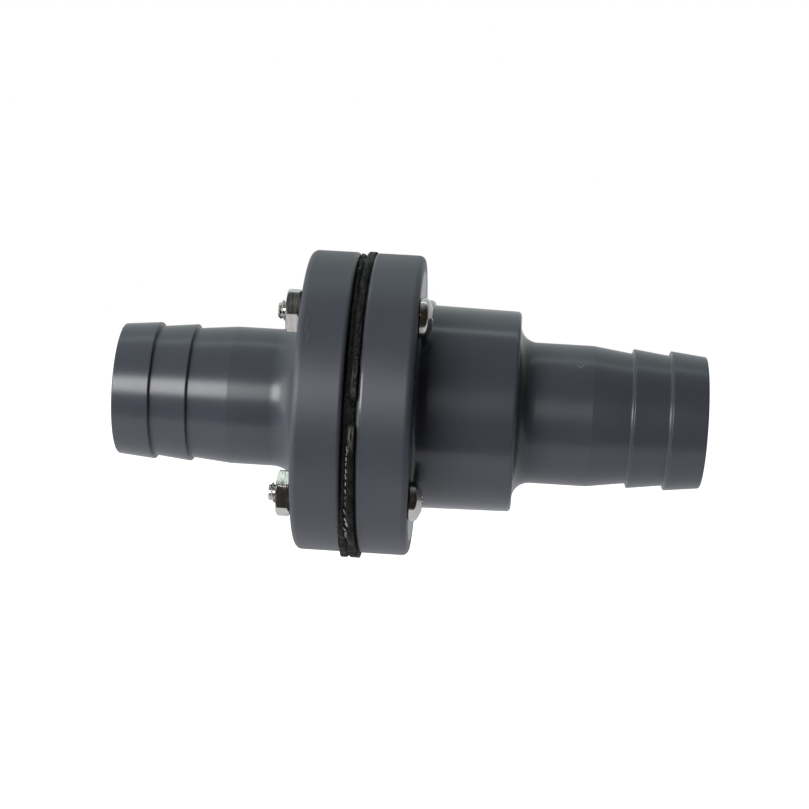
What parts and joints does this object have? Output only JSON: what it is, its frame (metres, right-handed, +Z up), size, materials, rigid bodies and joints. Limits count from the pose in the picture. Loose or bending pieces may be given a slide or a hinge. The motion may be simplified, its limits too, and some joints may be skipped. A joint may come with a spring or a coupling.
{
  "type": "in-line flapper check valve",
  "caption": "In-line check valve with two hose-barb halves, each with a round flange, bolted on a rubber sheet whose hinged tongue is the flap.",
  "frame": {"origin": "on the flow axis, in the plane of the inlet end face, where the inlet hose carries the valve", "axes": "+X with the flow from inlet to outlet, +Z up from the flow axis to the flap's hinge, +Y across"},
  "size_m": [0.1395, 0.0736, 0.0736],
  "materials": {
    "pvc": "dark grey rigid PVC, satin, faint turning marks and small scuffs",
    "sheet_rubber": "black cloth-inserted sheet rubber with cut edges",
    "flap_plate_steel": "plain stainless plate, lightly brushed",
    "stainless_fastener": "bright stainless steel"
  },
  "bodies": {
    "housing": {"inlet_body": "pvc", "outlet_body": "pvc", "gasket_sheet": "sheet_rubber", "flange_screw_1": "stainless_fastener", "flange_screw_2": "stainless_fastener", "flange_screw_3": "stainless_fastener", "flange_screw_4": "stainless_fastener", "flange_nut_1": "stainless_fastener", "flange_nut_2": "stainless_fastener", "flange_nut_3": "stainless_fastener", "flange_nut_4": "stainless_fastener"},
    "flapper": {"flap": "sheet_rubber", "flap_weight_plate": "flap_plate_steel", "flap_seat_plate": "flap_plate_steel", "flap_screw": "stainless_fastener", "flap_nut": "stainless_fastener"}
  },
  "joints": [
    {"name": "flap_hinge", "type": "hinge", "parent": "housing", "child": "flapper", "pos_m": [0.059, 0, 0.016], "axis": [0, -1, 0], "range_deg": [0, 65], "stiffness_Nm_per_rad": 0.01}
  ]
}
